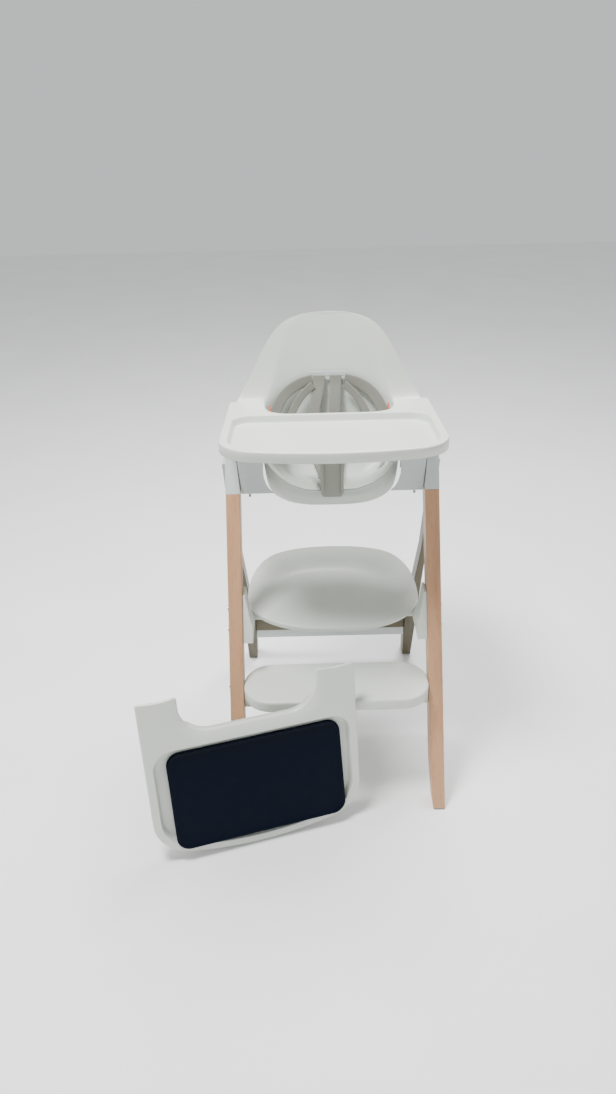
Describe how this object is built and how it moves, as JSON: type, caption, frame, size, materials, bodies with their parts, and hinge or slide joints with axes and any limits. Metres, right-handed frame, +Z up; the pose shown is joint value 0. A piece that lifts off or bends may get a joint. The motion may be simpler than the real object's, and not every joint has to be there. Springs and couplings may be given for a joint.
{
  "type": "baby high chair",
  "caption": "Wooden-legged baby high chair: A-frame sides, bucket seat with harness, clip-on tray, curved platform, step, and a second tray leaning on the step.",
  "frame": {"origin": "centre of the whole part's floor box, on the floor", "axes": "+Z up; the front of the chair faces -Y; +X is to the right seen from the front. The chair's own centre line is at x = 0.078, because the leaning tray stands on the -X side."},
  "size_m": [0.6069, 0.7096, 0.9312],
  "materials": {
    "beech": "satin",
    "shell_white": "satin",
    "trim_grey": "satin",
    "glide": "matte",
    "screw_steel": "brushed",
    "release_orange": "satin",
    "webbing": "woven",
    "board_navy": "matte"
  },
  "bodies": {
    "frame": {"front_leg_right": "beech", "front_leg_left": "beech", "rear_leg_right": "beech", "rear_leg_left": "beech", "side_joint_right": "trim_grey", "side_joint_left": "trim_grey", "foot_glides": "glide", "rear_crossbar": "beech", "rear_brace": "trim_grey", "crossbar_screws": "screw_steel", "platform": "shell_white", "platform_bracket_right": "shell_white", "platform_bracket_left": "shell_white", "platform_screws": "screw_steel", "step": "shell_white", "step_mount_right": "shell_white", "step_mount_left": "shell_white", "step_screws": "screw_steel"},
    "seat": {"seat_shell": "shell_white", "seat_cheek_right": "trim_grey", "seat_cheek_left": "trim_grey", "seat_pins": "trim_grey", "seat_catches": "trim_grey", "release_spring_right": "screw_steel", "release_spring_left": "screw_steel", "tab_guide_right": "trim_grey", "tab_guide_left": "trim_grey", "crotch_post": "trim_grey", "strap_guide": "trim_grey", "shoulder_strap_right": "webbing", "shoulder_strap_left": "webbing", "hip_strap_right": "webbing", "hip_strap_left": "webbing", "loop_strap_right": "webbing", "loop_strap_left": "webbing", "crotch_strap": "webbing", "buckle": "trim_grey", "buckle_spring": "screw_steel"},
    "tab_right": {"release_tab_right": "release_orange"},
    "tab_left": {"release_tab_left": "release_orange"},
    "buckle_button": {"buckle_button": "release_orange"},
    "tray": {"tray": "shell_white"},
    "leaning_tray": {"leaning_tray": "shell_white"},
    "leaning_board": {"leaning_board": "board_navy"}
  },
  "joints": [
    {"name": "seat_lift", "type": "slide", "parent": "frame", "child": "seat", "axis": [0, 0, 1], "range_m": [0, 0.2]},
    {"name": "tray_slide", "type": "slide", "parent": "seat", "child": "tray", "axis": [0, -0.9973, 0.0732], "range_m": [0, 0.25]},
    {"name": "tab_right_push", "type": "slide", "parent": "seat", "child": "tab_right", "axis": [1, 0, 0], "range_m": [0, 0.004], "stiffness_N_per_m": 250, "deforming": ["release_spring_right"]},
    {"name": "tab_left_push", "type": "slide", "parent": "seat", "child": "tab_left", "axis": [-1, 0, 0], "range_m": [0, 0.004], "stiffness_N_per_m": 250, "deforming": ["release_spring_left"]},
    {"name": "buckle_press", "type": "slide", "parent": "seat", "child": "buckle_button", "axis": [0, -0.0732, -0.9973], "range_m": [0, 0.003], "stiffness_N_per_m": 300, "deforming": ["buckle_spring"]},
    {"name": "leaning_tray_lift", "type": "slide", "parent": "frame", "child": "leaning_tray", "axis": [0.2756, -0.9485, 0.1564], "range_m": [0, 0.2]},
    {"name": "leaning_board_lift", "type": "slide", "parent": "leaning_tray", "child": "leaning_board", "axis": [0.2756, -0.9485, 0.1564], "range_m": [0, 0.08]}
  ]
}
